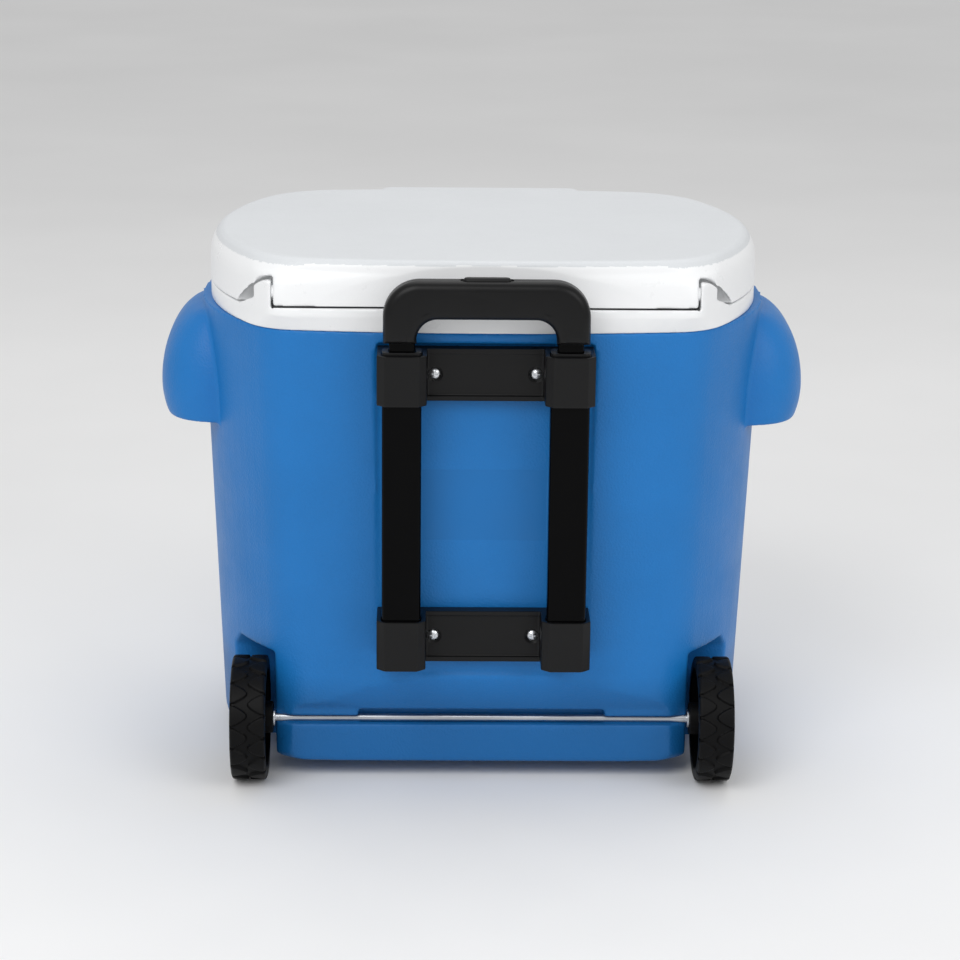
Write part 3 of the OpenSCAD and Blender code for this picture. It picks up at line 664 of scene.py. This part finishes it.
def inner_liner():
    liner = rim()
    tub = loft("tub", [
        cavity_ring(LINER_LOW - WALL, -WALL, 0.96),
        cavity_ring(LINER_LOW + 9, -WALL),
        cavity_ring(SEAM_Z - 6, -WALL),
    ])
    hump = along_x("hump", [(-300, 0), (-85, 0), (-85, 122), (-115, 147), (-300, 147)], -300, 300)
    join(liner, cut(tub, hump))
    cut(liner, cavity(), rod_y("bore", DRAIN_R, DRAIN_X, DRAIN_Z, 100, 230))
    return smooth_shade(liner, 45)


# ---------- Lid ----------

LID_LEVELS = [(0, 0, 0, 1), (12, 0.2, 0.2, 1), (28, 0.5, 0.5, 0.5), (37, 2.5, 1.2, 0.1), (44, 6, 2.4, -0.3),
              (48.5, 9.5, 4, -0.65), (LID_TOP_Z - LID_LOW, 14, 7, -1)]


def blended_levels(count):
    """The lid's levels with more of them between, along a smooth curve."""
    rows = []
    last = len(LID_LEVELS) - 1
    for k in range(last):
        before = LID_LEVELS[max(0, k - 1)]
        low = LID_LEVELS[k]
        high = LID_LEVELS[k + 1]
        after = LID_LEVELS[min(last, k + 2)]
        for i in range(count):
            t = i / count
            rows.append(tuple(
                low[n] + (high[n] - low[n]) * t if n == 0 or k == 0 else
                0.5 * (2 * low[n] + (high[n] - before[n]) * t
                       + (2 * before[n] - 5 * low[n] + 4 * high[n] - after[n]) * t * t
                       + (3 * low[n] - before[n] - 3 * high[n] + after[n]) * t ** 3)
                for n in range(4)
            ))
    rows.append(LID_LEVELS[-1])
    return rows


def lid_solid(name, inset, count):
    return loft(name, [
        rim_ring(LID_LOW + (dz - inset if dz > 0 else 0), square, ix + inset, iy + inset, LID_SHIFT)
        for dz, ix, iy, square in blended_levels(count)
    ])


def lift_lip():
    """Finger lip in the middle of the front edge."""
    y = CHEST_HALF_D + LIP_REACH - 12
    rings = []
    for below, radius in ((20, 10.5), (18, 12), (6, 12), (1.5, 9)):
        z = LID_TOP_Z - below
        front = arc((96, y), radius, 0, 90, 10) + arc((-96, y), radius, 90, 180, 10)
        back_y = CHEST_HALF_D - 30
        rings.append([(x, yy, z) for x, yy in [*front, (-96 - radius, back_y), (96 + radius, back_y)]])
    return loft("lip", rings)


def arch_space(side, grow):
    """The arched part of the space for an ear, thickened by grow to leave a wall of the lid around it."""
    return ear_arch(side, 1.6 + grow, LID_LOW - 5, EAR_FRONT + 6 + grow)


def ear_space(side):
    x0, x1 = sorted((side * FLAP_HALF_W, side * (EAR_X + 16)))
    turn = rod_x("turn", EAR_SWEEP_R, PIN_Y, PIN_Z, x0, x1)
    under = block("under", x0 - 0.2, x1 + 0.2, -300, PIN_Y + EAR_SWEEP_R - 0.3, LID_LOW - 5, PIN_Z + 0.7)
    return turn, under, arch_space(side, 0)


def lid_top():
    lid = lid_solid("lid_skin", 0, 5)
    join(lid, lift_lip())
    cut(lid, block("flap_low", -EAR_X, EAR_X, -300, PIN_Y + 13, LID_LOW - 5, FLAP_LOW),
        block("flap_rear", -EAR_X, EAR_X, -300, FLAP_Y, LID_LOW - 5, 600), *ear_space(-1), *ear_space(1))
    soften(lid, 1.5, 4, 0.3)
    space = lid_solid("space", WALL, 1)
    mouth = loft("mouth", [rim_ring(LID_LOW + dz, 1, WALL, WALL, LID_SHIFT) for dz in (-3, 2)])
    for hollow in (space, mouth):
        hinge_side = block("hinge_side", -500, 500, -300, PIN_Y + 19, 400, 600)
        cut(hollow, hinge_side, arch_space(-1, WALL), arch_space(1, WALL))
    cut(lid, space, mouth)
    for side in (-1, 1):
        x0, x1 = sorted((side * (FLAP_HALF_W - 10), side * (FLAP_HALF_W + 1)))
        cut(lid, rod_x("pin", 6.55, PIN_Y, PIN_Z, x0, x1))
    return smooth_shade(lid, 45)


def lid_inner_panel():
    plate = loft("lid_inner_skin", [
        rim_ring(LID_LOW + 0.3, 1, 4, 4, LID_SHIFT), rim_ring(LID_LOW + 3, 1, 3.5, 3.5, LID_SHIFT),
    ])
    cut(plate, block("hinge_side", -500, 500, -300, PIN_Y + 19.3, 400, 600),
        arch_space(-1, WALL + 0.3), arch_space(1, WALL + 0.3))
    rings = [cavity_ring(PLUG_LOW + 5 * (1 - math.cos(math.radians(a))), 12 - 5 * math.sin(math.radians(a)))
             for a in (0, 20, 40, 60, 75, 90)]
    plug = loft("plug", [cavity_ring(PLUG_LOW, 26), *rings, cavity_ring(LID_LOW + 2, 7)])
    panel_dish = loft("dish", [cavity_ring(PLUG_LOW - 2, 34), cavity_ring(PLUG_LOW + 2.5, 38)])
    cut(plug, panel_dish)
    join(plate, plug)
    return smooth_shade(plate, 40)


# ---------- Tow handle ----------

def grip_outline(inset):
    """The grip seen from behind, moved inward by inset: a bar with two legs."""
    outer_r = 35 - inset
    inner_r = 20 + inset
    half = GRIP_HALF_W - inset
    opening = GRIP_OPEN_HALF_W + inset
    top = GRIP_TOP - inset
    low = GRIP_LEG_LOW + inset
    open_top = GRIP_OPEN_TOP + inset
    right = [(half, low)]
    right += arc((half - outer_r, top - outer_r), outer_r, 0, 90, 18)
    left = [(-x, z) for x, z in reversed(right)]
    inner = [(-opening, low)]
    inner += [(x, z) for x, z in arc((-opening + inner_r, open_top - inner_r), inner_r, 180, 90, 14)]
    inner += [(-x, z) for x, z in reversed(inner)]
    bar = [(half - outer_r - (2 * (half - outer_r)) * i / 12, top) for i in range(1, 12)]
    return right + bar + left + inner


def grip_half(name, rear):
    """One half of the grip, with a soft edge and a fine parting groove."""
    edge = 9
    face_y = GRIP_Y - GRIP_DEPTH / 2 if rear else GRIP_Y + GRIP_DEPTH / 2
    inward = 1 if rear else -1
    turns = [math.radians(a) for a in range(0, 91, 10)]
    layers = [(edge * (1 - math.cos(a)), edge * (1 - math.sin(a))) for a in turns]
    layers += [(GRIP_DEPTH / 2 - 0.5, 0), (GRIP_DEPTH / 2 - 0.05, 0.45)]
    half = loft(name, [
        [(x, face_y + inward * depth, z) for x, z in grip_outline(inset)]
        for depth, inset in layers
    ])
    cutters = [stadium("hole", BUTTON_HALF_W + 0.5, 5.5, GRIP_Y, 500, 540)]
    dish = stadium("dish", BUTTON_HALF_W + 3.2, 8.0, GRIP_Y, GRIP_TOP - 1.2, 540)
    cutters.append(dish)
    for x in (-TUBE_X, TUBE_X):
        cutters.append(block("socket", x - 12.5, x + 12.5, TUBE_Y - 7, TUBE_Y + 7, GRIP_LEG_LOW - 1, 489))
    if not rear:
        for x in (-56, 56):
            cutters.append(rod_y("screw_hole", 3.8, x, 514, face_y - 3, face_y + 5))
    cut(half, *cutters)
    return smooth_shade(half, 35)


def stadium(name, half_w, radius, y, z0, z1):
    outline = arc((half_w - radius, y), radius, -90, 90, 16) + arc((radius - half_w, y), radius, 90, 270, 16)
    return loft(name, [[(x, yy, z) for x, yy in outline] for z in (z0, z1)])


def release_button():
    top = GRIP_TOP + 2.5
    rings = []
    for z, inset in ((506, 0), (top - 2.2, 0), (top - 1.0, 0.5), (top - 0.3, 1.3), (top, 2.6)):
        radius = 5 - inset
        half = BUTTON_HALF_W - inset
        outline = arc((half - radius, GRIP_Y), radius, -90, 90, 16)
        outline += arc((radius - half, GRIP_Y), radius, 90, 270, 16)
        rings.append([(x, y, z) for x, y in outline])
    button = loft("button_cap", rings)
    return smooth_shade(button, 40)


# ---------- Wheels ----------

def tread_drop(turn, across):
    """How far the tread lies below the lugs' tops; across runs from -1 to 1 over the width."""
    pitch = 2 * math.pi * WHEEL_R / LUG_COUNT
    w = abs(across) * WHEEL_W / 2
    shift = 0.5 if across > 0 else 0.0
    a = ((turn * LUG_COUNT / (2 * math.pi) + shift + 0.5) % 1 - 0.5) * pitch
    nose = 0.6
    round_to = 13.5
    full = pitch / 2 - 1.9
    if w < nose:
        half = -1
    elif w < round_to:
        half = full * ((w - nose) / (round_to - nose)) ** 0.62
    else:
        half = full
    away = abs(a) - half
    depth = 2.6 * min(1, max(0, away / 1.0 + 0.2))
    shoulder = max(0, w - (WHEEL_W / 2 - 3)) / 3
    return depth + 3 * (1 - math.sqrt(max(0, 1 - shoulder**2)))


def spoke_lift(turn, radius):
    """Ribs on the sunk face of the wheel, wider towards the rim."""
    sector = (turn * 6 / (2 * math.pi) + 0.5) % 1 - 0.5
    off = abs(sector) * 2 * math.pi / 6 * radius
    half = 4.5 + 0.05 * radius
    return min(1, max(0, (half - off) / 1.5 + 0.5))


def wheel(name, side):
    turns = LUG_COUNT * 24
    outer_r = 50
    profile = [(-5.5, 4.05), (-5.5, 15.2), (-4.7, 16), (13, 16), (14, 17)]
    profile += [(14, r) for r in range(19, 49, 3)]
    profile += [(14, 49), (13, outer_r), (1, outer_r), (0, outer_r + 1), (0, 59.5)]
    tread_from = len(profile)
    count = 44
    profile += [(WHEEL_W * i / count, WHEEL_R) for i in range(count + 1)]
    tread_to = len(profile)
    profile += [(WHEEL_W, 59.5), (WHEEL_W, 57), (WHEEL_W - 0.8, 56.5), (WHEEL_W - 0.8, 53), (WHEEL_W, 52.5)]
    profile += [(WHEEL_W, outer_r + 1), (WHEEL_W - 1, outer_r), (23, outer_r), (22, 49)]
    web_from = len(profile)
    profile += [(22, r) for r in range(48, 18, -2)]
    web_to = len(profile)
    profile += [(22, 18), (23, 17), (WHEEL_W - 1, 17), (WHEEL_W, 16), (WHEEL_W, 12.1)]
    profile += [(27.2, 12.1), (27.2, 4.05)]
    rings = []
    for t in range(turns):
        turn = 2 * math.pi * t / turns
        ring = []
        for i, (u, r) in enumerate(profile):
            if tread_from <= i < tread_to:
                r -= tread_drop(turn, 2 * u / WHEEL_W - 1)
            if web_from <= i < web_to:
                u += 9 * spoke_lift(turn, r)
            ring.append((side * (WHEEL_X + u), AXLE_Y + r * math.cos(turn), WHEEL_R + r * math.sin(turn)))
        rings.append(ring)
    return smooth_shade(loft(name, rings, around=True), 40)


def hub_cap(name, side):
    profile = [
        (27.2, 0.5), (27.2, 11.9), (33.6, 11.9), (34.4, 11.2), (34.6, 9.6),
        (34.1, 9.0), (34.3, 6), (34.5, 3), (34.55, 0.5),
    ]
    turns = [math.radians(t) for t in range(0, 360, 5)]
    rings = [
        [(side * (WHEEL_X + u), AXLE_Y + r * math.cos(turn), WHEEL_R + r * math.sin(turn)) for turn in turns]
        for u, r in profile
    ]
    return smooth_shade(loft(name, rings), 40)


# ---------- Assembly ----------

def finish_piece(piece, body, node, material):
    paint(piece, material)
    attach(piece, body)
    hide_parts(node)
    return piece


def split_lid_grain_and_shade(lid):
    """The top is grained, and its white is painted a darker grey as painted shade; the skirt, below the
    rounded shoulder, is smoother and whiter.
    """
    lid.data.materials.clear()
    lid.data.materials.append(lid_white)
    lid.data.materials.append(rim_white)
    for polygon in lid.data.polygons:
        low = polygon.center.z < (LID_TOP_Z - 7) * MM
        # painted shade: faces turned upward take the darker grey top material, low and steep faces the
        # whiter skirt; the grain on the top is real
        polygon.material_index = 1 if low or polygon.normal.z < 0.35 else 0


def fillet_copy(node, name, voxel, passes, share):
    return smooth_shade(soften(copy_of(node, name), voxel, passes, share), 45)


finish_piece(outer_shell(), "chest", "outer_shell", shell_blue)
finish_piece(inner_liner(), "chest", "inner_liner", rim_white)
for bracket in ("upper_bracket", "lower_bracket"):
    finish_piece(fillet_copy(bracket, bracket + "_skin", 0.8, 5, 0.3), "chest", bracket,
                 bracket_black)

lid_piece = lid_top()
finish_piece(lid_piece, "lid", "lid_top", lid_white)
split_lid_grain_and_shade(lid_piece)
finish_piece(lid_inner_panel(), "lid", "lid_inner_panel", rim_white)

finish_piece(grip_half("grip_rear_skin", True), "tow_handle", "grip_rear", grip_black)
finish_piece(grip_half("grip_front_skin", False), "tow_handle", "grip_front", grip_black)
finish_piece(release_button(), "release", "release_button", button_black)

for side_name, direction in (("left", -1), ("right", 1)):
    body = side_name + "_wheel"
    bush = "tube_bush_" + side_name
    finish_piece(wheel("tread_wheel_" + side_name, direction), body, "wheel_" + side_name,
                 wheel_black)
    finish_piece(hub_cap("cap_" + side_name, direction), body, "hub_cap_" + side_name,
                 bracket_black)
    finish_piece(bevelled(bush, "bush_" + side_name, 0.8), "chest", bush, bracket_black)

finish_piece(bevelled("drain_spout", "spout", 0.8), "chest", "drain_spout", rim_white)
finish_piece(bevelled("drain_plug", "plug_cap", 0.9), "drain_stopper", "drain_plug", rim_white)

SLOT_MATERIALS = {
    "foam": foam, "liner_white": rim_white, "drain_white": rim_white, "bracket_black": bracket_black,
    "tube_black": tube_gloss, "screw_zinc": zinc, "axle_steel": steel, "seal_rubber": rubber,
    "shell_blue": shell_blue, "lid_white": lid_white, "grip_black": grip_black, "button_black": button_black,
    "wheel_black": wheel_black,
}
for part in frame["record"]["subparts"]:
    paint(nodes[part["node"]], SLOT_MATERIALS[part["material_slot"]])

# ---------- Stage, lights and camera ----------

def floor():
    plane = bpy.data.meshes.new("floor")
    size = 12
    corners = [(-size, -size, 0), (size, -size, 0), (size, size, 0), (-size, size, 0)]
    plane.from_pydata(corners, [], [(0, 1, 2, 3)])
    piece = bpy.data.objects.new("floor", plane)
    bpy.context.scene.collection.objects.link(piece)
    g = Graph("floor_pale")
    tone = g.mix(g.ramp(g.noise(1.5, 3), 0.3, 0.7), (0.84, 0.84, 0.84), (0.88, 0.88, 0.88))
    paint(piece, g.finish(tone, g.ramp(g.noise(12), 0.3, 0.7, 0.75, 0.9), g.bump(g.noise(300), 0.1, 0.1)))


def area_light(name, place, aim, size, power):
    light = bpy.data.lights.new(name, "AREA")
    light.shape = "DISK"
    light.size = size
    light.energy = power
    lamp = bpy.data.objects.new(name, light)
    lamp.location = place
    lamp.rotation_euler = (Vector(aim) - Vector(place)).to_track_quat("-Z", "Y").to_euler()
    bpy.context.scene.collection.objects.link(lamp)


def world_light(strength):
    world = bpy.data.worlds.new("studio")
    world.use_nodes = True
    background = world.node_tree.nodes["Background"]
    background.inputs["Color"].default_value = (1, 1, 1, 1)
    background.inputs["Strength"].default_value = strength
    bpy.context.scene.world = world


def camera():
    yaw, pitch, roll = (math.radians(a) for a in (1.075, 16.013, 0.598))
    ahead = Vector((math.sin(yaw) * math.cos(pitch), math.cos(yaw) * math.cos(pitch), -math.sin(pitch)))
    level = Vector((math.cos(yaw), -math.sin(yaw), 0))
    upward = level.cross(ahead)
    right = level * math.cos(roll) + upward * math.sin(roll)
    up = upward * math.cos(roll) - level * math.sin(roll)
    data = bpy.data.cameras.new("camera")
    data.lens = 108.6
    data.clip_end = 50
    eye = bpy.data.objects.new("camera", data)
    turn = Matrix((right, up, -ahead)).transposed().to_4x4()
    eye.matrix_world = Matrix.Translation((-0.0552, -2.8975, 1.0987)) @ turn
    bpy.context.scene.collection.objects.link(eye)
    bpy.context.scene.camera = eye


floor()
area_light("key", (-1.1, -2.3, 2.6), (0, 0, 0.25), 2.2, 42)
area_light("fill", (1.9, -2.0, 1.9), (0, 0, 0.25), 2.0, 18)
area_light("top", (0.2, 0.9, 2.6), (0, 0, 0.3), 2.2, 12)
world_light(0.62)
camera()
bpy.context.scene.view_settings.view_transform = "Standard"
